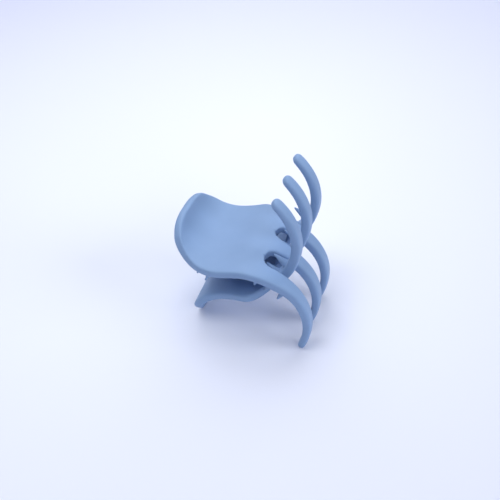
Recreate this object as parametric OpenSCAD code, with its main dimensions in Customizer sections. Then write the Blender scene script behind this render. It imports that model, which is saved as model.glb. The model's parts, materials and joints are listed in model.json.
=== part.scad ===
// Hair claw clip: two identical curved jaws on one hinge pin, held shut by a torsion spring.
// The clip lies on its side, as it comes to rest on a table, and z = 0 is the table top.
// +X runs from the handles to the claws, +Y along the hinge pin, +Z up.
// Sizes are in millimetres and angles in degrees.

/* [Jaw curve] */
// how far behind the hinge pin the handle ends
end_back = 14.6; // [13.5:0.1:15]
// how far above the hinge pin the handle ends
end_rise = 15.8; // [14.8:0.1:16]
// how steeply the handle runs down from its end
end_slope = 89.5; // [86:1:94]
// length of the flared end of the handle, measured along its curve
flare_len = 13.7; // [13:0.1:14.5]
// how far the flared end bends
flare_turn = 78.5; // [76:1:84]
// length of the bend that flattens the handle into the plate
waist_len = 9.3; // [8.5:0.1:10.5]
// how far that bend turns
waist_turn = 12.5; // [10:0.5:16]
// length of the nearly flat part over the hinge
flat_len = 5.4; // [3:0.5:7]
// how far the nearly flat part dips
flat_turn = -16; // [-18:0.5:-12]
// length of the round part from the plate into the claws
claw_len = 25.8; // [25:0.1:28]
// how far the claws curl inwards
claw_turn = -86.5; // [-95:0.5:-82]
// length of the straighter claw ends
tip_len = 9.5; // [9:0.1:11]
// how far the claw ends curl
tip_turn = -28; // [-32:0.5:-22]

/* [Jaw outline] */
// from the hinge's middle to the front edge: at the handle's end, then at each sixth of the way
// to the claw roots
front_edge = [10.9, 13.8, 16.2, 17.5, 17.5, 17.4]; // [8:0.1:18]
// the same for the back edge
back_edge = [10.6, 13.7, 14.2, 14.1, 14.8, 15.3]; // [8:0.1:17]
// how far the handle's front corner is set back from its middle, as a share of the plate
front_corner = 0.14; // [0.08:0.01:0.22]
// the same for the back corner
back_corner = 0.06; // [0.03:0.01:0.15]
// thickness of the plate
plate_t = 2.5; // [2.2:0.1:2.8]
// radius of the rounding along all edges
edge_r = 1.0; // [0.6:0.1:1.1]

/* [Claws] */
// distance between neighbouring claws of one jaw
pitch = 11; // [10.5:0.1:11.5]
// width of a claw at its root
root_w = 4.8; // [4:0.1:5]
// width of a claw near its tip
tip_w = 3.8; // [2.8:0.1:4]
// thickness of a claw where it is deepest, past its root
claw_t = 3.1; // [2.8:0.1:4]
// length over which a claw deepens, on its inner side, from its root
deepen_len = 7; // [4:0.5:12]
// thickness of a claw near its tip
tip_t = 2.0; // [1.7:0.1:2.5]
// from the handle's end to the claw roots, along the curve
root_at = 30.4; // [29.8:0.1:31.5]
// length of the rounded end of each slot between the claws
slot_round = 2.8; // [2.5:0.1:4]
// how much wider than its outer claws the jaw is at the claw roots, at the front and at the back
side_flow = [1.4, 1]; // [0:0.1:1.6]
// length along the claws over which that extra width dies away, at the front and at the back
flow_len = [15, 3]; // [2.5:0.5:16]
// how much wider the middle claw is at its root, on its back side
middle_flow = 1.4; // [0:0.1:1.5]
// length along the middle claw over which that extra width dies away
middle_len = 7.5; // [4:0.5:8]
// how fast the outline narrows at the claw roots, at the front and at the back
root_slope = [0, 1.1]; // [0:0.1:1.2]
// length of the rounding at each claw tip
tip_round = 1.6; // [1:0.1:2.4]
// thickness that is left at the very end of a claw, as a share of its full thickness
tip_left = 0.5; // [0.3:0.05:0.9]

/* [Grip spikes] */
// where the grip spikes stand along the middle of each claw, from the handle's end along the curve
claw_spikes = [30.6, 34.7, 39.8]; // [29:0.1:42]
// height of these spikes
spike_h = 4.3; // [3:0.1:4.4]
// diameter of a spike at its foot
spike_d = 2.4; // [2:0.1:3.2]
// how far the outer spikes turn with the claw: 0 is parallel to the middle one, 1 is square to the claw
spike_fan = 0.3; // [0:0.1:1]
// diameter of a spike at its tip
spike_tip = 0.5; // [0.3:0.1:0.8]
// where the two small pegs stand under the handle's front edge
handle_pegs = [13.1, 16.2]; // [11:0.1:17]
// heights of the two pegs
peg_h = [1.2, 2.6]; // [1:0.1:3]
// diameter of a peg at its foot
peg_d = 0.9; // [0.7:0.1:1.4]
// distance of the pegs from the edge
peg_in = 1.3; // [1:0.1:2]

/* [Hinge] */
// diameter of the hinge pin
pin_d = 2; // [1.6:0.1:2.2]
// clearance around the pin in the upper jaw's lugs
pin_gap = 0.05; // [0.02:0.01:0.1]
// radius of a lug around the pin
lug_r = 2.7; // [2.4:0.1:2.9]
// thickness of a lug
lug_t = 2; // [1.6:0.1:2.2]
// gap between the lugs of the two jaws
lug_gap = 0.35; // [0.3:0.05:0.5]
// from the hinge's middle to the inner face of the inner lugs
lug_in = 5.2; // [5:0.1:6]

/* [Spring] */
// diameter of the spring wire
wire_d = 0.9; // [0.7:0.1:1]
// mean diameter of the coil
coil_d = 5; // [4.6:0.1:5.2]
// full turns in the coil
coil_turns = 6; // [5:1:7]
// length of each spring leg
leg_len = 8; // [6:0.5:9]
// slope of each leg away from the middle
leg_slope = 14; // [8:1:14]

/* [Hidden] */

jaw_colour = [0.45, 0.58, 0.78];
steel_colour = [0.72, 0.73, 0.75];

arcs = [
    [flare_len, flare_turn],
    [waist_len, waist_turn],
    [flat_len, flat_turn],
    [claw_len, claw_turn],
    [tip_len, tip_turn]
];
curve_len = flare_len + waist_len + flat_len + claw_len + tip_len;
first_claw = -1.25 * pitch;

// Where an arc ends that starts at p = [x, z, heading].
function arc_end(p, length, turn) =
    let (half = turn / 2)
    let (chord = abs(turn) < 0.001 ? length : length * sin(half) / (half * PI / 180))
    [p[0] + chord * cos(p[2] + half), p[1] + chord * sin(p[2] + half), p[2] + turn];

// Position and heading at the distance s along the chain of tangent arcs.
function along(s, i = 0, p = [-end_back, end_rise, -end_slope]) =
    (s <= arcs[i][0] || i == len(arcs) - 1)
        ? arc_end(p, s, arcs[i][1] * s / arcs[i][0])
        : along(s - arcs[i][0], i + 1, arc_end(p, arcs[i][0], arcs[i][1]));

// Smooth curve through evenly spaced values, which falls by m per step at its last one.
function through(v, k, m) =
    let (n = len(v) - 1)
    let (i = min(floor(k * n), n - 1))
    let (f = k * n - i)
    let (a = i > 0 ? v[i - 1] : 2 * v[0] - v[1])
    let (b = v[i])
    let (c = v[i + 1])
    let (d = i + 2 <= n ? v[i + 2] : v[n - 1] - 2 * m)
    b + 0.5 * f * (c - a + f * (2 * a - 5 * b + 4 * c - d + f * (3 * (b - c) + d - a)));

// Half the thickness lost at the distance d inside a rounded edge.
function edge_loss(d) = d >= edge_r ? 0 : edge_r - sqrt(edge_r * edge_r - pow(edge_r - d, 2));

// The rows of points across the jaw: first along the plate, as shares of its length,
// then along the claws, as distances from the handle's end.
near_edge = 0.29 * edge_r;
plate_steps = 13;
plate_rows = concat(
    [0, near_edge / root_at, edge_r / root_at],
    [for (i = [1:plate_steps]) edge_r / root_at + (1 - edge_r / root_at) * i / plate_steps]
);
slot_rows = [for (a = [22.5:22.5:90]) root_at + slot_round * (1 - cos(a))];
claw_steps = 14;
claw_span = curve_len - tip_round - root_at - slot_round;
claw_rows = [for (i = [1:claw_steps]) root_at + slot_round + claw_span * i / claw_steps];
tip_rows = [for (a = [30, 55, 80]) curve_len - tip_round + tip_round * sin(a)];
root_row = len(plate_rows) - 1;
free_rows = concat(slot_rows, claw_rows, tip_rows);
last_row = root_row + len(free_rows);

corner = [front_corner, back_corner];
edges = [front_edge, back_edge];
outer_claws = [root_w / 2 - first_claw, first_claw + 2 * pitch + root_w / 2];
root_edges = outer_claws + side_flow;
first_web = first_claw + pitch / 2;
second_web = first_web + pitch;
root_width = root_edges[0] + root_edges[1];
strip_shares = [0, (first_web + root_edges[0]) / root_width, (second_web + root_edges[0]) / root_width, 1];

// Distance from the hinge's middle to the front (n = 0) or back (n = 1) edge, at the share k of
// the plate's length.
function edge(n, k) =
    let (fall_per_step = root_slope[n] * root_at * (1 - corner[n]) / len(edges[n]))
    through(concat(edges[n], [root_edges[n]]), k, fall_per_step);

// Y of the line that bounds claw strip j (0 to 3), at the share k of the plate's length.
function strip_line(j, k) = (edge(0, k) + edge(1, k)) * strip_shares[j] - edge(0, k);

// How far a point of the handle's end is set back, at the distance q (-1 to 1) across it.
function set_back(q) = (q < 0 ? corner[0] : corner[1]) * pow(abs(q), 2.6);

// Shrink factor of the rounded claw tip.
function tip_share(s) =
    s <= curve_len - tip_round ? 1 : sqrt(1 - pow((s - curve_len + tip_round) / tip_round, 2));

// Half width of a claw.
function claw_half(s) =
    (root_w + (tip_w - root_w) * (s - root_at) / (curve_len - root_at)) / 2;

// Smooth fall from 1 at x = 0 to 0 at x = 1 and beyond.
function fall(x) = x >= 1 ? 0 : pow(1 - x, 2) * (1 + 2 * x);

// Extra width of an outer claw past its root, at the front (n = 0) or at the back (n = 1).
function flow(n, s) =
    let (x = min((s - root_at) / flow_len[n], 1))
    side_flow[n] * fall(x) - root_slope[n] * flow_len[n] * x * pow(1 - x, 2);

// Distance from the mid surface to the outer side (side = 1) or the inner side (side = -1) of a claw.
function claw_depth(s, side) =
    let (k = (s - root_at) / (curve_len - root_at))
    let (extra = side > 0 ? 0 : (claw_t - plate_t) * (1 - fall((s - root_at) / deepen_len)) * (1 - k * k))
    (plate_t + (tip_t - plate_t) * k) / 2 + extra;

// Share of the slot's full width that is open at the distance s.
function slot_open(s) =
    s >= root_at + slot_round ? 1 : sqrt(1 - pow(1 - (s - root_at) / slot_round, 2));

// Y of column c (0 to 6) of a strip that runs from a to b.
function column_y(a, b, c) =
    let (n = min(near_edge, (b - a) * 0.12))
    let (r = min(edge_r, (b - a) * 0.4))
    [a, a + n, a + r, (a + b) / 2, b - r, b - n, b][c];
column_loss = [edge_loss(0), edge_loss(near_edge), 0, 0, 0, edge_loss(near_edge), edge_loss(0)];

// A point of the jaw beside its mid surface: o is the offset along the outward normal.
function beside(s, y, o) =
    let (p = along(s))
    [p[0] - o * sin(p[2]), y, p[1] + o * cos(p[2])];

function plate_point(k, j, c, side) =
    let (a = strip_line(j, k))
    let (b = strip_line(j + 1, k))
    let (y = column_y(a, b, c))
    let (front = strip_line(0, k))
    let (q = 2 * (y - front) / (strip_line(3, k) - front) - 1)
    let (e = set_back(q))
    let (outer = (j == 0 && c < 3) || (j == 2 && c > 3))
    let (end_loss = k * root_at < edge_r ? edge_loss(k * root_at) : 0)
    let (loss = max(end_loss, outer ? column_loss[c] : 0))
    beside((e + (1 - e) * k) * root_at, y, side * (plate_t / 2 - loss));

// Extra width on the slot side of a claw: at its front (n = 0) or at its back (n = 1).
function slot_side(n, s, j) =
    let (extra = (j == 1 && n == 1) ? middle_flow * fall((s - root_at) / middle_len) : 0)
    extra + (1 - slot_open(s)) * (pitch / 2 - claw_half(s) - extra);

function claw_point(s, j, c, side) =
    let (mid = first_claw + j * pitch)
    let (half = claw_half(s) * tip_share(s))
    let (a = mid - half - (j > 0 ? slot_side(0, s, j) : flow(0, s)))
    let (b = mid + half + (j < 2 ? slot_side(1, s, j) : flow(1, s)))
    let (t = (claw_depth(s, side) - column_loss[c]) * (tip_left + (1 - tip_left) * tip_share(s)))
    beside(s, column_y(a, b, c), side * t);

jaw_points = [
    for (i = [0:last_row])
        for (j = [0:2])
            for (c = [0:6])
                for (side = [1, -1])
                    i <= root_row
                        ? plate_point(plate_rows[i], j, c, side)
                        : claw_point(free_rows[i - root_row - 1], j, c, side)
];

// Index of a point. Up to the claw roots, neighbouring strips share their common column.
function at(i, j, c, side) =
    (i <= root_row && c == 6 && j < 2) ? at(i, j + 1, 0, side) : ((i * 3 + j) * 7 + c) * 2 + side;

function quad(a, b, c, d) = [[a, b, c], [a, c, d]];

skin_faces = [
    for (i = [0:last_row - 1])
        for (j = [0:2])
            for (c = [0:5])
                for (f = concat(
                    quad(at(i, j, c, 0), at(i, j, c + 1, 0), at(i + 1, j, c + 1, 0), at(i + 1, j, c, 0)),
                    quad(at(i, j, c, 1), at(i + 1, j, c, 1), at(i + 1, j, c + 1, 1), at(i, j, c + 1, 1))
                ))
                    f
];
front_faces = [
    for (i = [0:last_row - 1])
        for (j = [0:2])
            if (j == 0 || i >= root_row)
                for (f = quad(at(i, j, 0, 1), at(i, j, 0, 0), at(i + 1, j, 0, 0), at(i + 1, j, 0, 1)))
                    f
];
back_faces = [
    for (i = [0:last_row - 1])
        for (j = [0:2])
            if (j == 2 || i >= root_row)
                for (f = quad(at(i, j, 6, 0), at(i, j, 6, 1), at(i + 1, j, 6, 1), at(i + 1, j, 6, 0)))
                    f
];
end_faces = [
    for (j = [0:2])
        for (c = [0:5])
            for (f = concat(
                quad(at(0, j, c, 1), at(0, j, c + 1, 1), at(0, j, c + 1, 0), at(0, j, c, 0)),
                quad(at(last_row, j, c, 0), at(last_row, j, c + 1, 0),
                    at(last_row, j, c + 1, 1), at(last_row, j, c, 1))
            ))
                f
];

// The clip leans until the lower jaw's handle and the upper jaw's claw tips both touch the table.
handle_end = [for (i = [0:6 * 42 - 1]) let (p = jaw_points[i]) [p[0], -p[2]]];
tip_ends = [for (i = [(last_row - 6) * 42:len(jaw_points) - 1]) let (p = jaw_points[i]) [p[0], p[2]]];
function height(p, a) = p[0] * sin(a) + p[1] * cos(a);
function lowest(v, a) =
    let (h = [for (p = v) height(p, a)])
    let (m = min(h))
    [for (i = [0:len(v) - 1]) if (h[i] == m) v[i]][0];
function settle(a, n) =
    let (p = lowest(handle_end, a))
    let (q = lowest(tip_ends, a))
    n == 0 ? a : settle(-atan2(q[1] - p[1], q[0] - p[0]), n - 1);
lean = settle(14, 6);
floor_z = height(lowest(handle_end, lean), lean);
across = [for (p = jaw_points) for (m = [1, -1]) p[0] * cos(lean) - m * p[2] * sin(lean)];
mid_x = (min(across) + max(across)) / 2;

lug_top = along(flare_len + waist_len)[1] + 0.3;
lug_out = lug_in + lug_t + lug_gap;

module leaning() {
    translate([-mid_x, 0, -floor_z])
        rotate([0, -lean, 0])
            children();
}

// One hinge lug, from y to y + lug_t.
module lug(y, bore_d) {
    translate([0, y + lug_t, 0])
        rotate([90, 0, 0])
            linear_extrude(lug_t)
                difference() {
                    union() {
                        circle(r = lug_r, $fn = 64);
                        polygon([[-lug_r, 0], [lug_r, 0], [lug_r + 1.6, lug_top], [-lug_r - 1.6, lug_top]]);
                    }
                    circle(d = bore_d, $fn = 64);
                }
}

// A cone on the inner side of the jaw, rooted in its middle. It is square to the jaw where the
// distance along the curve is aim.
module spike(s, y, h, d, aim) {
    foot = s > root_at ? claw_depth(s, -1) : plate_t / 2;
    translate(beside(s, y, -foot))
        rotate([0, 180 - along(aim)[2], 0])
            translate([0, 0, -foot])
                cylinder(h = foot + h, d1 = d + (d - spike_tip) * foot / h, d2 = spike_tip, $fn = 24);
}

module jaw(bore_d) {
    polyhedron(jaw_points, concat(skin_faces, front_faces, back_faces, end_faces), convexity = 8);
    lug(-lug_out - lug_t, bore_d);
    lug(lug_in, bore_d);
    for (j = [0:2], s = claw_spikes) {
        aim = claw_spikes[1] + spike_fan * (s - claw_spikes[1]);
        spike(s, first_claw + j * pitch, spike_h, spike_d, aim);
    }
    for (i = [0:1]) {
        s = handle_pegs[i];
        k = (s / root_at - corner[0]) / (1 - corner[0]);
        spike(s, peg_in - edge(0, k), peg_h[i], peg_d, claw_spikes[1]);
    }
}

module upper_jaw() {
    color(jaw_colour)
        leaning()
            jaw(pin_d + 2 * pin_gap);
}

// The lower jaw is the same moulding, turned half a turn about the clip's long axis.
module lower_jaw() {
    color(jaw_colour)
        leaning()
            rotate([180, 0, 0])
                jaw(pin_d);
}

// The pin is pressed into the lower jaw's lugs.
module hinge_pin() {
    length = 2 * (lug_out + lug_t) + 0.6;
    color(steel_colour)
        leaning()
            translate([0, length / 2, 0])
                rotate([90, 0, 0])
                    cylinder(h = length, d = pin_d, $fn = 64);
}

module torsion_spring() {
    turns = coil_turns + 0.5 - leg_slope / 180;
    steps = 20 * coil_turns;
    sides = 8;
    half_coil = lug_in - 0.25 - wire_d / 2;
    start = -90 + leg_slope;
    // centre line: [x, z, direction the tube's section faces, y]
    coil = [
        for (i = [0:steps])
            let (a = start + 360 * turns * i / steps)
            [coil_d / 2 * cos(a), coil_d / 2 * sin(a), a, half_coil * (1 - 2 * i / steps)]
    ];
    finish = start + 360 * turns;
    end = coil[steps];
    leg_a = [coil[0][0] + leg_len * sin(start), coil[0][1] - leg_len * cos(start), start, half_coil];
    leg_b = [end[0] - leg_len * sin(finish), end[1] + leg_len * cos(finish), finish, -half_coil];
    path = concat([leg_a], coil, [leg_b]);
    points = [
        for (p = path)
            for (i = [0:sides - 1])
                let (b = 360 * i / sides)
                let (r = wire_d / 2 * cos(b))
                [p[0] + r * cos(p[2]), p[3] + wire_d / 2 * sin(b), p[1] + r * sin(p[2])]
    ];
    last = len(path) - 1;
    walls = [
        for (k = [0:last - 1])
            for (i = [0:sides - 1])
                let (n = (i + 1) % sides)
                for (f = quad(k * sides + i, (k + 1) * sides + i, (k + 1) * sides + n, k * sides + n))
                    f
    ];
    caps = [[for (i = [0:sides - 1]) i], [for (i = [sides - 1:-1:0]) last * sides + i]];
    color(steel_colour)
        leaning()
            polyhedron(points, concat(walls, caps), convexity = 10);
}

upper_jaw();
lower_jaw();
hinge_pin();
torsion_spring();
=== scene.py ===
"""Looks for the claw clip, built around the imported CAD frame."""

import json
import math

import bmesh
import bpy
import numpy as np
from mathutils import Matrix, Vector


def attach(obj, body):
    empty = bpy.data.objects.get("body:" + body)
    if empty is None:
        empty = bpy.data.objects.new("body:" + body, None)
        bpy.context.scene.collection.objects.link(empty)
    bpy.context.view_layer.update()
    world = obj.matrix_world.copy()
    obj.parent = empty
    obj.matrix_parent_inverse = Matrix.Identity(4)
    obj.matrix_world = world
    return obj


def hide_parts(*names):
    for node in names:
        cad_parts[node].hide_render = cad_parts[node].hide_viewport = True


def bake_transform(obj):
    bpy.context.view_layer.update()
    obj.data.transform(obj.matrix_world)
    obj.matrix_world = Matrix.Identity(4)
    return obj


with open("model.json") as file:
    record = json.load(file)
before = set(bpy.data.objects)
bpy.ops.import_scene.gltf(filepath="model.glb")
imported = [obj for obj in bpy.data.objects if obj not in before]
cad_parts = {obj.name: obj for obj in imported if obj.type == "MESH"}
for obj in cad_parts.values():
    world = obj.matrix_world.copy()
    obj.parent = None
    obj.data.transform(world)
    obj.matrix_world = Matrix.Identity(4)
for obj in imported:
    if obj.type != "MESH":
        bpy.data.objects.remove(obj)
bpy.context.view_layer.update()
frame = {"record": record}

# ---------------------------------------------------------------------------------------------
# The clip's driving dimensions, as in the CAD model (millimetres and degrees). Where a value
# has two entries, they are for the front (-Y) and the back (+Y).
END_BACK, END_RISE, END_SLOPE = 14.6, 15.8, 89.5
ARCS = [(13.7, 78.5), (9.3, 12.5), (5.4, -16.0), (25.8, -86.5), (9.5, -28.0)]
EDGES = [[10.9, 13.8, 16.2, 17.5, 17.5, 17.4], [10.6, 13.7, 14.2, 14.1, 14.8, 15.3]]
CORNER, CORNER_POWER = [0.14, 0.06], 2.6
PLATE_T, CAD_EDGE_R = 2.5, 1.0
PITCH, ROOT_W, TIP_W = 11.0, 4.8, 3.8
CLAW_T, DEEPEN_LEN, TIP_T = 3.1, 7.0, 2.0
ROOT_AT, SLOT_ROUND, TIP_ROUND, TIP_LEFT = 30.4, 2.8, 1.6, 0.5
SIDE_FLOW, FLOW_LEN, ROOT_SLOPE = [1.4, 1.0], [15.0, 3.0], [0.0, 1.1]
MIDDLE_FLOW, MIDDLE_LEN = 1.4, 7.5
CLAW_SPIKES, SPIKE_H, SPIKE_D, SPIKE_FAN, SPIKE_TIP = [30.6, 34.7, 39.8], 4.3, 2.4, 0.3, 0.5
HANDLE_PEGS, PEG_H, PEG_D, PEG_IN = [13.1, 16.2], [1.2, 2.6], 0.9, 1.3
PIN_D, PIN_GAP, PIN_PROUD = 2.0, 0.05, 0.3
LUG_R, LUG_T, LUG_GAP, LUG_IN = 2.7, 2.0, 0.35, 5.2
LUG_SPLAY, LUG_SUNK = 1.6, 0.3
WIRE_D, COIL_D, COIL_TURNS, LEG_LEN, LEG_SLOPE = 0.9, 5.0, 6, 8.0, 14.0
COIL_GAP = 0.25

# The visible jaws' meshes: the rounding along their edges, the columns of points in each strip
# between its edges' roundings, and the radius of the handle's two corners. Subdivision rounds the
# edges further, so their rounding is tighter than the CAD's. The CAD has one column per strip and
# sharp corners.
CAGE_EDGE_R = 0.78
CAGE_INNER = 3
CAGE_CORNER_R = 1.4
SUBDIVISIONS = 2

# A rounded edge's middle column, as a share of its radius, and the most that this column and the
# rounding take of a narrow strip's width.
NEAR_SHARE = 0.29
NEAR_MOST, EDGE_MOST = 0.12, 0.4

# The search for the clip's lean: the first guess in degrees, and how often it is improved.
FIRST_LEAN, LEAN_ROUNDS = 14, 6

CURVE_LEN = sum(length for length, turn in ARCS)
FIRST_CLAW = -1.25 * PITCH
LUG_OUT = LUG_IN + LUG_T + LUG_GAP
HALF_COIL = LUG_IN - COIL_GAP - WIRE_D / 2
MM = 0.001


def along(s):
    """Position (x, z) and heading (radians) at the distances s along the jaw's curve."""
    s = np.asarray(s, float)
    x = np.full(s.shape, -END_BACK)
    z = np.full(s.shape, END_RISE)
    h = np.full(s.shape, math.radians(-END_SLOPE))
    start = 0.0
    for i, (length, turn) in enumerate(ARCS):
        part = np.clip(s - start, 0, length if i < len(ARCS) - 1 else None)
        bend = math.radians(turn) * part / length
        chord = part * np.sinc(bend / 2 / math.pi)
        x = x + chord * np.cos(h + bend / 2)
        z = z + chord * np.sin(h + bend / 2)
        h = h + bend
        start += length
    return x, z, h


def beside(s, y, o):
    """A point at the offset o along the jaw's outward normal, in the clip's own frame."""
    x, z, h = along(s)
    return np.stack(np.broadcast_arrays(x - o * np.sin(h), y, z + o * np.cos(h)), -1)


def through(v, k, m):
    """Smooth curve through evenly spaced values, which falls by m per step at its last one."""
    n = len(v) - 1
    i = min(int(k * n), n - 1)
    f = k * n - i
    a = v[i - 1] if i > 0 else 2 * v[0] - v[1]
    b, c = v[i], v[i + 1]
    d = v[i + 2] if i + 2 <= n else v[n - 1] - 2 * m
    return b + 0.5 * f * (c - a + f * (2 * a - 5 * b + 4 * c - d + f * (3 * (b - c) + d - a)))


def edge_loss(d):
    """Half the thickness lost at the distance d inside a rounded edge."""
    return 0.0 if d >= EDGE_R else EDGE_R - math.sqrt(EDGE_R**2 - (EDGE_R - d) ** 2)


def set_cage(radius, inner, corner):
    """Sets the rounding along the jaw's edges, how many columns of points each of its three
    strips has between its edges' roundings, and the radius of the handle's two corners. All the
    functions below use them."""
    global EDGE_R, NEAR, INNER, LAST, LOSS, CORNER_R
    EDGE_R, NEAR, CORNER_R = radius, NEAR_SHARE * radius, corner
    INNER, LAST = inner, inner + 5
    rounding = [edge_loss(0), edge_loss(NEAR), 0]
    LOSS = rounding + [0] * inner + rounding[::-1]


OUTER_CLAWS = [ROOT_W / 2 - FIRST_CLAW, FIRST_CLAW + 2 * PITCH + ROOT_W / 2]
ROOT_EDGES = [OUTER_CLAWS[0] + SIDE_FLOW[0], OUTER_CLAWS[1] + SIDE_FLOW[1]]
FIRST_WEB = FIRST_CLAW + PITCH / 2 + ROOT_EDGES[0]
SHARES = [0.0, FIRST_WEB / sum(ROOT_EDGES), (FIRST_WEB + PITCH) / sum(ROOT_EDGES), 1.0]


def edge(n, k):
    """Distance from the hinge's middle to the front (0) or back (1) edge, along the plate."""
    fall_per_step = ROOT_SLOPE[n] * ROOT_AT * (1 - CORNER[n]) / len(EDGES[n])
    return through(EDGES[n] + [ROOT_EDGES[n]], k, fall_per_step)


def strip_line(j, k):
    """y of the line between two of the plate's three strips, one for each claw."""
    return (edge(0, k) + edge(1, k)) * SHARES[j] - edge(0, k)


def set_back(q):
    """Share of the plate that the handle's end is set back by, from front (-1) to back (1)."""
    return (CORNER[0] if q < 0 else CORNER[1]) * abs(q) ** CORNER_POWER


def tip_share(s):
    """How much of a claw's full section is left: 1, and less over its rounded end."""
    x = (s - CURVE_LEN + TIP_ROUND) / TIP_ROUND
    return 1.0 if x <= 0 else math.sqrt(max(0.0, 1 - x * x))


def claw_half(s):
    """Half the width of a claw."""
    return (ROOT_W + (TIP_W - ROOT_W) * (s - ROOT_AT) / (CURVE_LEN - ROOT_AT)) / 2


def fall(x):
    """Falls smoothly from 1 at 0 to 0 at 1."""
    return 0.0 if x >= 1 else (1 - x) ** 2 * (1 + 2 * x)


def claw_depth(s, side):
    """From a claw's middle to its outer (1) or inner (-1) face. The inner side is deeper."""
    k = (s - ROOT_AT) / (CURVE_LEN - ROOT_AT)
    deepened = (1 - fall((s - ROOT_AT) / DEEPEN_LEN)) * (1 - k * k)
    extra = 0.0 if side > 0 else (CLAW_T - PLATE_T) * deepened
    return (PLATE_T + (TIP_T - PLATE_T) * k) / 2 + extra


def slot_open(s):
    """Share of a slot's width that is open, from 0 at its round end to 1."""
    x = (s - ROOT_AT) / SLOT_ROUND
    return 1.0 if x >= 1 else math.sqrt(1 - (1 - x) ** 2)


def flow(n, s):
    """Extra width on the outer side of an outer claw, which carries on the plate's outline."""
    x = min((s - ROOT_AT) / FLOW_LEN[n], 1.0)
    return SIDE_FLOW[n] * fall(x) - ROOT_SLOPE[n] * FLOW_LEN[n] * x * (1 - x) ** 2


def column_y(a, b, c):
    """y of the column c across a strip from a to b. The columns are closer at its edges."""
    n, r = min(NEAR, (b - a) * NEAR_MOST), min(EDGE_R, (b - a) * EDGE_MOST)
    inner = [a + r + (b - a - 2 * r) * i / (INNER + 1) for i in range(1, INNER + 1)]
    return [a, a + n, a + r, *inner, b - r, b - n, b][c]


def corner_loss(s):
    """How much narrower each side of the handle is at the distance s from its end."""
    return 0.0 if s >= CORNER_R else CORNER_R - math.sqrt(CORNER_R**2 - (CORNER_R - s) ** 2)


def plate_point(k, j, c, side):
    """A point of the plate at the share k of its length, in the strip j and the column c."""
    a, b = strip_line(j, k), strip_line(j + 1, k)
    front, back = strip_line(0, k), strip_line(3, k)
    a += corner_loss(k * ROOT_AT) if j == 0 else 0.0
    b -= corner_loss(k * ROOT_AT) if j == 2 else 0.0
    y = column_y(a, b, c)
    e = set_back(2 * (y - front) / (back - front) - 1)
    outer = (j == 0 and c < 3) or (j == 2 and c > LAST - 3)
    end = edge_loss(k * ROOT_AT) if k * ROOT_AT < EDGE_R else 0
    loss = max(end, LOSS[c] if outer else 0)
    return beside((e + (1 - e) * k) * ROOT_AT, y, side * (PLATE_T / 2 - loss))


def slot_side(n, s, j):
    """Extra width on the slot side of a claw: at its front (0) or at its back (1)."""
    extra = MIDDLE_FLOW * fall((s - ROOT_AT) / MIDDLE_LEN) if j == 1 and n == 1 else 0.0
    return extra + (1 - slot_open(s)) * (PITCH / 2 - claw_half(s) - extra)


def claw_point(s, j, c, side):
    """A point of the claw j at the distance s along the curve, in the column c."""
    mid = FIRST_CLAW + j * PITCH
    half = claw_half(s) * tip_share(s)
    a = mid - half - (slot_side(0, s, j) if j > 0 else flow(0, s))
    b = mid + half + (slot_side(1, s, j) if j < 2 else flow(1, s))
    t = (claw_depth(s, side) - LOSS[c]) * (TIP_LEFT + (1 - TIP_LEFT) * tip_share(s))
    return beside(s, column_y(a, b, c), side * t)


def jaw_rows(plate_steps, slot_angles, claw_steps, tip_angles):
    """The rows of points: along the plate as shares of its length, then along the claws."""
    rest = EDGE_R / ROOT_AT
    plate = [0, NEAR / ROOT_AT, rest]
    plate += [rest + (1 - rest) * i / plate_steps for i in range(1, plate_steps + 1)]
    slots = [ROOT_AT + SLOT_ROUND * (1 - math.cos(math.radians(a))) for a in slot_angles]
    span = CURVE_LEN - TIP_ROUND - ROOT_AT - SLOT_ROUND
    claws = [ROOT_AT + SLOT_ROUND + span * i / claw_steps for i in range(1, claw_steps + 1)]
    tips = [CURVE_LEN - TIP_ROUND + TIP_ROUND * math.sin(math.radians(a)) for a in tip_angles]
    return plate, slots + claws + tips


def jaw_points(plate, free):
    """All the points of a jaw: per row 3 strips of columns, each an outer and an inner point."""
    rows = [(plate_point, k) for k in plate] + [(claw_point, s) for s in free]
    pts = [
        point(at, j, c, side)
        for point, at in rows
        for j in range(3)
        for c in range(LAST + 1)
        for side in (1, -1)
    ]
    return np.array(pts)


def jaw_faces(root_row, last_row):
    """Quads over a jaw's points. Up to the root row the three strips share their edges."""

    def at(i, j, c, side):
        if i <= root_row and c == LAST and j < 2:
            j, c = j + 1, 0
        return ((i * 3 + j) * (LAST + 1) + c) * 2 + side

    faces = []
    for i in range(last_row):
        n = i + 1
        for j in range(3):
            for c in range(LAST):
                quad = [(i, c), (n, c), (n, c + 1), (i, c + 1)]
                turned_over = [quad[0], *quad[:0:-1]]
                faces.append(tuple(at(row, j, column, 0) for row, column in quad))
                faces.append(tuple(at(row, j, column, 1) for row, column in turned_over))
            if j == 0 or i >= root_row:
                faces.append((at(i, j, 0, 1), at(n, j, 0, 1), at(n, j, 0, 0), at(i, j, 0, 0)))
            if j == 2 or i >= root_row:
                c = LAST
                faces.append((at(i, j, c, 0), at(n, j, c, 0), at(n, j, c, 1), at(i, j, c, 1)))
    for j in range(3):
        for c in range(LAST):
            faces.append((at(0, j, c, 1), at(0, j, c, 0), at(0, j, c + 1, 0), at(0, j, c + 1, 1)))
            n = last_row
            faces.append((at(n, j, c, 1), at(n, j, c + 1, 1), at(n, j, c + 1, 0), at(n, j, c, 0)))
    return faces


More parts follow.
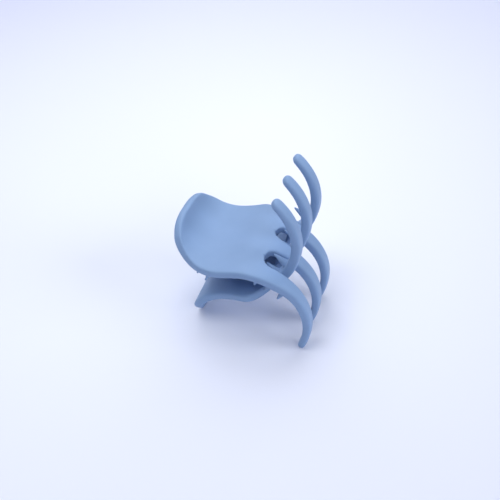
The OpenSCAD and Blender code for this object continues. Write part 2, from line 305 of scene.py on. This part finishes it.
# ---------------------------------------------------------------------------------------------
# How the clip leans on the table: the same rule as in the CAD, from the same rows of points.
set_cage(CAD_EDGE_R, 1, 0.0)
ROW = 3 * (LAST + 1) * 2
END_ROWS = 6
cad_plate, cad_free = jaw_rows(13, (22.5, 45, 67.5, 90), 14, (30, 55, 80))
cad_pts = jaw_points(cad_plate, cad_free)[:, [0, 2]]
handle_end = cad_pts[: END_ROWS * ROW] * np.array([1, -1])
tip_ends = cad_pts[-(END_ROWS + 1) * ROW :]
lean = math.radians(FIRST_LEAN)
for _ in range(LEAN_ROUNDS):
    up = np.array([math.sin(lean), math.cos(lean)])
    p = handle_end[np.argmin(handle_end @ up)]
    q = tip_ends[np.argmin(tip_ends @ up)]
    lean = -math.atan2(q[1] - p[1], q[0] - p[0])
hinge = Vector(frame["record"]["behaviour"]["joints"][0]["pos_m"])
CLIP = (
    Matrix.Translation(hinge)
    @ Matrix.Rotation(-lean, 4, "Y")
    @ Matrix.Diagonal((MM, MM, MM, 1))
)
FLIP = Matrix.Rotation(math.pi, 4, "X")


def place(points, flip=False):
    """Points of the clip's own frame, in millimetres, as points of the row frame, in metres."""
    m = np.array(CLIP @ FLIP if flip else CLIP)
    p = np.asarray(points, float)
    return p @ m[:3, :3].T + m[:3, 3]


def new_object(name, verts, faces):
    """A smooth-shaded mesh object with its faces turned outwards and no loose points."""
    mesh = bpy.data.meshes.new(name)
    mesh.from_pydata([tuple(map(float, v)) for v in verts], [], faces)
    mesh.validate()
    bm = bmesh.new()
    bm.from_mesh(mesh)
    bmesh.ops.recalc_face_normals(bm, faces=bm.faces)
    loose = [v for v in bm.verts if not v.link_faces]
    bmesh.ops.delete(bm, geom=loose, context="VERTS")
    bm.to_mesh(mesh)
    bm.free()
    mesh.polygons.foreach_set("use_smooth", [True] * len(mesh.polygons))
    obj = bpy.data.objects.new(name, mesh)
    bpy.context.scene.collection.objects.link(obj)
    return obj


def ring_faces(rows, ring, base=0):
    """Faces of a closed tube: rows of ring points each, with a flat face at both ends."""
    faces = []
    for k in range(rows - 1):
        a, b = base + k * ring, base + (k + 1) * ring
        for i in range(ring):
            n = (i + 1) % ring
            faces.append((a + i, a + n, b + n, b + i))
    faces.append(tuple(base + i for i in reversed(range(ring))))
    faces.append(tuple(base + (rows - 1) * ring + i for i in range(ring)))
    return faces


# ---------------------------------------------------------------------------------------------
# Materials
def shader(name):
    mat = bpy.data.materials.new(name)
    mat.use_nodes = True
    nodes, links = mat.node_tree.nodes, mat.node_tree.links
    return mat, nodes, links, nodes["Principled BSDF"]


def add_noise(nodes, links, vector, scale, detail):
    """A noise texture's value, read at the given coordinates."""
    noise = nodes.new("ShaderNodeTexNoise")
    noise.inputs["Scale"].default_value = scale
    noise.inputs["Detail"].default_value = detail
    links.new(vector, noise.inputs["Vector"])
    return noise.outputs["Fac"]


def add_ramp(nodes, links, value, low, high, span=(0.0, 1.0)):
    """A colour that goes from low to high as the value goes over the span."""
    ramp = nodes.new("ShaderNodeValToRGB")
    for element, place_at, colour in zip(ramp.color_ramp.elements, span, (low, high)):
        element.position = place_at
        element.color = (*colour, 1)
    links.new(value, ramp.inputs["Fac"])
    return ramp.outputs["Color"]


def add_range(nodes, links, value, span, to):
    """A number that goes over the range to as the value goes over the span."""
    ranged = nodes.new("ShaderNodeMapRange")
    for name, number in zip(("From Min", "From Max", "To Min", "To Max"), (*span, *to)):
        ranged.inputs[name].default_value = number
    links.new(value, ranged.inputs["Value"])
    return ranged.outputs["Result"]


def add_bump(nodes, links, height, strength, distance):
    """A surface relief: the height's full range is the distance, in metres."""
    bump = nodes.new("ShaderNodeBump")
    bump.inputs["Strength"].default_value = strength
    bump.inputs["Distance"].default_value = distance
    links.new(height, bump.inputs["Height"])
    return bump.outputs["Normal"]


def soft_plastic(name):
    """Soft-touch matte plastic: faint colour drift, fine grain, slightly polished in places."""
    mat, nodes, links, bsdf = shader(name)
    coord = nodes.new("ShaderNodeTexCoord").outputs["Object"]
    drift = add_noise(nodes, links, coord, 90.0, 3.0)
    tint = add_ramp(nodes, links, drift, (0.214, 0.338, 0.562), (0.232, 0.363, 0.600), (0.3, 0.7))
    links.new(tint, bsdf.inputs["Base Color"])
    rub = add_noise(nodes, links, coord, 240.0, 4.0)
    rough = add_range(nodes, links, rub, (0.3, 0.7), (0.50, 0.60))
    links.new(rough, bsdf.inputs["Roughness"])
    grain = add_noise(nodes, links, coord, 5200.0, 2.0)
    links.new(add_bump(nodes, links, grain, 0.12, 0.00004), bsdf.inputs["Normal"])
    bsdf.inputs["IOR"].default_value = 1.46
    bsdf.inputs["Specular IOR Level"].default_value = 0.4
    bsdf.inputs["Sheen Weight"].default_value = 0.08
    bsdf.inputs["Sheen Roughness"].default_value = 0.5
    return mat


def drawn_steel(name, stretch):
    """Bright drawn steel: a small stretch along an axis draws its marks out that way."""
    mat, nodes, links, bsdf = shader(name)
    mapping = nodes.new("ShaderNodeMapping")
    mapping.inputs["Scale"].default_value = stretch
    links.new(nodes.new("ShaderNodeTexCoord").outputs["Object"], mapping.inputs["Vector"])
    marks = add_noise(nodes, links, mapping.outputs["Vector"], 1800.0, 3.0)
    tint = add_ramp(nodes, links, marks, (0.50, 0.49, 0.48), (0.68, 0.68, 0.68))
    links.new(tint, bsdf.inputs["Base Color"])
    rough = add_range(nodes, links, marks, (0.0, 1.0), (0.22, 0.42))
    links.new(rough, bsdf.inputs["Roughness"])
    links.new(add_bump(nodes, links, marks, 0.2, 0.00002), bsdf.inputs["Normal"])
    bsdf.inputs["Metallic"].default_value = 1.0
    return mat


plastic = soft_plastic("jaw_plastic_soft")
steel_rod = drawn_steel("steel_rod", (1.0, 0.05, 1.0))
steel_wire = drawn_steel("steel_wire", (1.0, 1.0, 1.0))


def finish_piece(obj, mat, body, levels=0):
    """Gives a piece its material, the body that it rides on and its subdivision."""
    obj.data.materials.clear()
    obj.data.materials.append(mat)
    if levels:
        mod = obj.modifiers.new("smooth", "SUBSURF")
        mod.levels = levels
        mod.render_levels = levels
    if body:
        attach(obj, body)
    return obj


# ---------------------------------------------------------------------------------------------
# Jaws
set_cage(CAGE_EDGE_R, CAGE_INNER, CAGE_CORNER_R)
fine_plate, fine_free = jaw_rows(18, (15, 30, 45, 60, 75, 90), 20, (22, 42, 58, 70))
fine_pts = jaw_points(fine_plate, fine_free)
fine_faces = jaw_faces(len(fine_plate) - 1, len(fine_plate) + len(fine_free) - 1)


def lug_piece(name, y, bore, flip):
    """A hinge lug with softened edges, bored for the pin. Its foot is sunk into the plate."""
    soft, arc_steps, bore_steps = 0.2, 40, 48
    weld, sharp = 2e-6, math.radians(50)
    top = float(along(ARCS[0][0] + ARCS[1][0])[1]) + LUG_SUNK
    outer = []
    for i in range(arc_steps + 1):
        a = math.pi + math.pi * i / arc_steps
        outer.append((LUG_R * math.cos(a), LUG_R * math.sin(a)))
    outer += [(LUG_R + LUG_SPLAY, top), (-LUG_R - LUG_SPLAY, top)]
    angles = [2 * math.pi * i / bore_steps for i in range(bore_steps)]
    inner = [(bore / 2 * math.cos(a), bore / 2 * math.sin(a)) for a in angles]
    curve = bpy.data.curves.new(name, "CURVE")
    curve.dimensions = "2D"
    curve.fill_mode = "BOTH"
    curve.extrude = LUG_T / 2 - soft
    curve.bevel_depth = soft
    curve.bevel_resolution = 3
    curve.offset = -soft
    for ring in (outer, inner):
        spline = curve.splines.new("POLY")
        spline.points.add(len(ring) - 1)
        for p, (u, v) in zip(spline.points, ring):
            p.co = (u, v, 0, 1)
        spline.use_cyclic_u = True
    tmp = bpy.data.objects.new(name + "_tmp", curve)
    bpy.context.scene.collection.objects.link(tmp)
    deps = bpy.context.evaluated_depsgraph_get()
    mesh = bpy.data.meshes.new_from_object(tmp.evaluated_get(deps))
    bpy.data.objects.remove(tmp)
    bpy.data.curves.remove(curve)
    verts = [(v.co.x, y + LUG_T / 2 - v.co.z, v.co.y) for v in mesh.vertices]
    faces = [tuple(p.vertices) for p in mesh.polygons]
    bpy.data.meshes.remove(mesh)
    bm = bmesh.new()
    vs = [bm.verts.new(v) for v in place(verts, flip)]
    for f in faces:
        bm.faces.new([vs[i] for i in f])
    bmesh.ops.remove_doubles(bm, verts=bm.verts, dist=weld)
    bmesh.ops.recalc_face_normals(bm, faces=bm.faces)
    out = bpy.data.meshes.new(name)
    bm.to_mesh(out)
    bm.free()
    out.polygons.foreach_set("use_smooth", [True] * len(out.polygons))
    obj = bpy.data.objects.new(name, out)
    bpy.context.scene.collection.objects.link(obj)
    split = obj.modifiers.new("edges", "EDGE_SPLIT")
    split.split_angle = sharp
    return obj


def spike_places():
    """Distance along the curve, y, height, foot diameter and aim of the spikes and pegs."""
    middle = CLAW_SPIKES[1]
    out = []
    for j in range(3):
        for s in CLAW_SPIKES:
            aim = middle + SPIKE_FAN * (s - middle)
            out.append((s, FIRST_CLAW + j * PITCH, SPIKE_H, SPIKE_D, aim))
    for s, h in zip(HANDLE_PEGS, PEG_H):
        k = (s / ROOT_AT - CORNER[0]) / (1 - CORNER[0])
        out.append((s, PEG_IN - edge(0, k), h, PEG_D, middle))
    return out


def spikes_piece(name, flip):
    """Round cones with rounded ends and a moulded fillet at the foot. The foot is sunk into the
    jaw: its rows are depths below the face, and widths past the foot's radius."""
    ring = 20
    fillet, fillet_h = 0.18, 0.7
    sunk_rows = ((0.9, 0.10), (0.12, 0.20))
    tip_r = SPIKE_TIP / 2
    verts, faces = [], []
    for s, y, high, foot_d, aim in spike_places():
        foot_r = foot_d / 2
        rows = [(-depth, foot_r + wider) for depth, wider in sunk_rows]
        for k in (0.0, 0.04, 0.1, 0.2, 0.4, 0.6, 0.8):
            cone = foot_r + (tip_r - foot_r) * k
            rows.append((high * k, cone + fillet * max(0.0, 1 - k * high / fillet_h) ** 2))
        for a in (0.1, 0.5, 0.9, 1.3):
            rows.append((high - tip_r * (1 - math.sin(a)), tip_r * (0.12 + 0.98 * math.cos(a))))
        root = beside(s, y, -(claw_depth(s, -1) if s > ROOT_AT else PLATE_T / 2))
        h = float(along(aim)[2])
        down = np.array([math.sin(h), 0, -math.cos(h)])
        side = np.array([math.cos(h), 0, math.sin(h)])
        across = np.array([0, 1, 0])
        faces += ring_faces(len(rows), ring, len(verts))
        for reach, r in rows:
            for i in range(ring):
                a = 2 * math.pi * i / ring
                out = side * math.cos(a) + across * math.sin(a)
                verts.append(root + down * reach + out * r)
    return new_object(name, place(verts, flip), faces)


for jaw, flip, bore in (("upper_jaw", False, PIN_D + 2 * PIN_GAP), ("lower_jaw", True, PIN_D)):
    shell = new_object(jaw + "_shell", place(fine_pts, flip), fine_faces)
    finish_piece(shell, plastic, jaw, SUBDIVISIONS)
    outer_lug = lug_piece(jaw + "_lug_outer", -LUG_OUT - LUG_T, bore, flip)
    inner_lug = lug_piece(jaw + "_lug_inner", LUG_IN, bore, flip)
    spikes = spikes_piece(jaw + "_spikes", flip)
    for piece in (outer_lug, inner_lug, spikes):
        finish_piece(piece, plastic, jaw)
    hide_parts(jaw)

# ---------------------------------------------------------------------------------------------
# Pin: a straight rod with rounded ends. The end's profile is distances from the end in
# millimetres and shares of the pin's radius.
PIN_RING = 48
PIN_END = [(0.0, 0.02), (0.0, 0.45), (0.04, 0.70), (0.12, 0.86), (0.25, 0.96), (0.42, 1.0)]
pin_half = LUG_OUT + LUG_T + PIN_PROUD
pin_rows = [(-pin_half + d, r) for d, r in PIN_END]
pin_rows += [(pin_half - d, r) for d, r in reversed(PIN_END)]
pin_verts = []
for y, share in pin_rows:
    r = PIN_D / 2 * share
    for i in range(PIN_RING):
        a = 2 * math.pi * i / PIN_RING
        pin_verts.append((r * math.cos(a), y, r * math.sin(a)))
pin = new_object("pin_rod", place(pin_verts), ring_faces(len(pin_rows), PIN_RING))
finish_piece(pin, steel_rod, "lower_jaw")
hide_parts("hinge_pin")

# ---------------------------------------------------------------------------------------------
# Spring: one wire, from the lower leg round the coil to the upper leg
WIRE_RING, LEG_STEPS, COIL_STEPS = 14, 10, 48 * COIL_TURNS
coil_r = COIL_D / 2
coil_start = math.radians(-90 + LEG_SLOPE)
coil_sweep = 2 * math.pi * (COIL_TURNS + 0.5 - LEG_SLOPE / 180)
coil_end = coil_start + coil_sweep


def leg_point(a, y, reach):
    """The wire's middle on the leg that leaves the coil at the angle a, and that angle."""
    x = coil_r * math.cos(a) - reach * math.sin(a)
    return x, y, coil_r * math.sin(a) + reach * math.cos(a), a


wire = []
for i in range(LEG_STEPS):
    wire.append(leg_point(coil_start, HALF_COIL, -LEG_LEN * (1 - i / LEG_STEPS)))
for i in range(COIL_STEPS + 1):
    k = i / COIL_STEPS
    wire.append(leg_point(coil_start + coil_sweep * k, HALF_COIL * (1 - 2 * k), 0.0))
for i in range(1, LEG_STEPS + 1):
    wire.append(leg_point(coil_end, -HALF_COIL, LEG_LEN * i / LEG_STEPS))
wire_verts = []
for x, y, z, a in wire:
    for i in range(WIRE_RING):
        b = 2 * math.pi * i / WIRE_RING
        r = WIRE_D / 2 * math.cos(b)
        wire_verts.append((x + r * math.cos(a), y + WIRE_D / 2 * math.sin(b), z + r * math.sin(a)))
spring = new_object("spring_wire", place(wire_verts), ring_faces(len(wire), WIRE_RING))
finish_piece(spring, steel_wire, None)
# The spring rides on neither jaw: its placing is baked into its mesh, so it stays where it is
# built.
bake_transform(spring)
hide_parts("torsion_spring")

# ---------------------------------------------------------------------------------------------
# Floor: pale paper with a painted pool of light, palest behind the clip and painted darker
# outwards (metres)
FLOOR_R = 0.55
# The painted pool of light: its middle and its radii in x, y and z. MOTTLE is the paper's faint
# random unevenness, and the span is where the painted light goes from dim to full.
PAINTED_POOL_AT, PAINTED_POOL_R = (-0.02, 0.08, 0.0), (0.20, 0.285, 1.0)
MOTTLE, PAINTED_POOL_SPAN = 0.1, (0.05, 1.05 / 1.1)
bpy.ops.mesh.primitive_circle_add(vertices=96, radius=FLOOR_R, fill_type="NGON")
floor = bpy.context.object
floor.name = "floor"
floor_and_painted_light, nodes, links, bsdf = shader("floor_with_painted_light")
coord = nodes.new("ShaderNodeTexCoord").outputs["Object"]
around = nodes.new("ShaderNodeMapping")
around.vector_type = "TEXTURE"
around.inputs["Location"].default_value = PAINTED_POOL_AT
around.inputs["Scale"].default_value = PAINTED_POOL_R
links.new(coord, around.inputs["Vector"])
# A painted pool of light on the paper: a spherical gradient, lit in the middle and painted darker
# outwards, with the paper's random mottle added.
painted_light_pool = nodes.new("ShaderNodeTexGradient")
painted_light_pool.gradient_type = "SPHERICAL"
links.new(around.outputs["Vector"], painted_light_pool.inputs["Vector"])
mottle_and_painted_light = nodes.new("ShaderNodeMath")
mottle_and_painted_light.operation = "MULTIPLY_ADD"
mottle_and_painted_light.inputs[1].default_value = MOTTLE
links.new(add_noise(nodes, links, coord, 3.0, 2.0), mottle_and_painted_light.inputs[0])
links.new(painted_light_pool.outputs["Fac"], mottle_and_painted_light.inputs[2])
# far is the painted shade beyond the pool of light, near the painted light at its middle.
far, near = (0.676, 0.702, 0.895), (0.845, 0.878, 0.970)
tone = add_ramp(nodes, links, mottle_and_painted_light.outputs["Value"], far, near, PAINTED_POOL_SPAN)
links.new(tone, bsdf.inputs["Base Color"])
bsdf.inputs["Roughness"].default_value = 0.85
bsdf.inputs["Specular IOR Level"].default_value = 0.1
floor.data.materials.append(floor_and_painted_light)

# The studio's walls: pale where the camera sees them, and too dim to light the object.
scene = bpy.context.scene
world = bpy.data.worlds.new("studio")
scene.world = world
world.use_nodes = True
nodes, links = world.node_tree.nodes, world.node_tree.links
dim = nodes["Background"]
dim.inputs["Color"].default_value = (0.85, 0.9, 1.0, 1)
dim.inputs["Strength"].default_value = 0.02
pale = nodes.new("ShaderNodeBackground")
pale.inputs["Color"].default_value = (0.80, 0.85, 0.98, 1)
seen = nodes.new("ShaderNodeLightPath").outputs["Is Camera Ray"]
walls = nodes.new("ShaderNodeMixShader")
links.new(seen, walls.inputs["Fac"])
links.new(dim.outputs["Background"], walls.inputs[1])
links.new(pale.outputs["Background"], walls.inputs[2])
links.new(walls.outputs["Shader"], nodes["World Output"].inputs["Surface"])

# Round softboxes aimed at the origin: azimuth (0 is +X and 90 is +Y) and elevation in degrees,
# distance and diameter in metres, power in watts.
SOFTBOXES = {
    "soft_right": (0, 30, 1.0, 0.6, 3.8),
    "soft_front_right": (315, 30, 1.0, 0.6, 2.2),
    "soft_back": (90, 40, 1.0, 1.2, 5.2),
    "soft_back_left": (135, 30, 1.0, 0.6, 0.85),
    "soft_front_left": (225, 58, 1.0, 0.6, 3.1),
    "soft_near_left": (157, 70, 0.373, 0.3, 0.54),
}
LIGHT_COLOUR = (0.98, 1.0, 1.05)
for name, (azimuth, elevation, distance, size, power) in SOFTBOXES.items():
    a, e = math.radians(azimuth), math.radians(elevation)
    aim = Vector((math.cos(a) * math.cos(e), math.sin(a) * math.cos(e), math.sin(e)))
    data = bpy.data.lights.new(name, "AREA")
    data.shape = "DISK"
    data.size = size
    data.energy = power
    data.color = LIGHT_COLOUR
    light = bpy.data.objects.new(name, data)
    light.location = aim * distance
    light.rotation_euler = (-aim).to_track_quat("-Z", "Y").to_euler()
    scene.collection.objects.link(light)

# Camera: where it stands in metres, which way its right and up point, and its focal length in
# pixels of a frame 500 pixels wide.
CAM_AT = (0.0454560, -0.1569729, 0.1626759)
CAM_RIGHT = (0.954317, 0.298271, 0.017702)
CAM_UP = (-0.208772, 0.623237, 0.753651)
FOCAL_PX, FRAME_PX, SENSOR_MM = 741.47, 500.0, 36.0
cam_right = Vector(CAM_RIGHT).normalized()
cam_up = Vector(CAM_UP)
cam_up = (cam_up - cam_right * cam_up.dot(cam_right)).normalized()
cam_back = cam_right.cross(cam_up)
camera_data = bpy.data.cameras.new("camera")
camera_data.sensor_width = SENSOR_MM
camera_data.lens = FOCAL_PX * SENSOR_MM / FRAME_PX
camera_data.clip_start = 0.01
camera = bpy.data.objects.new("camera", camera_data)
turned = Matrix((cam_right, cam_up, cam_back)).transposed()
camera.matrix_world = Matrix.Translation(Vector(CAM_AT)) @ turned.to_4x4()
scene.collection.objects.link(camera)
scene.camera = camera
scene.view_settings.view_transform = "Standard"
scene.view_settings.look = "None"
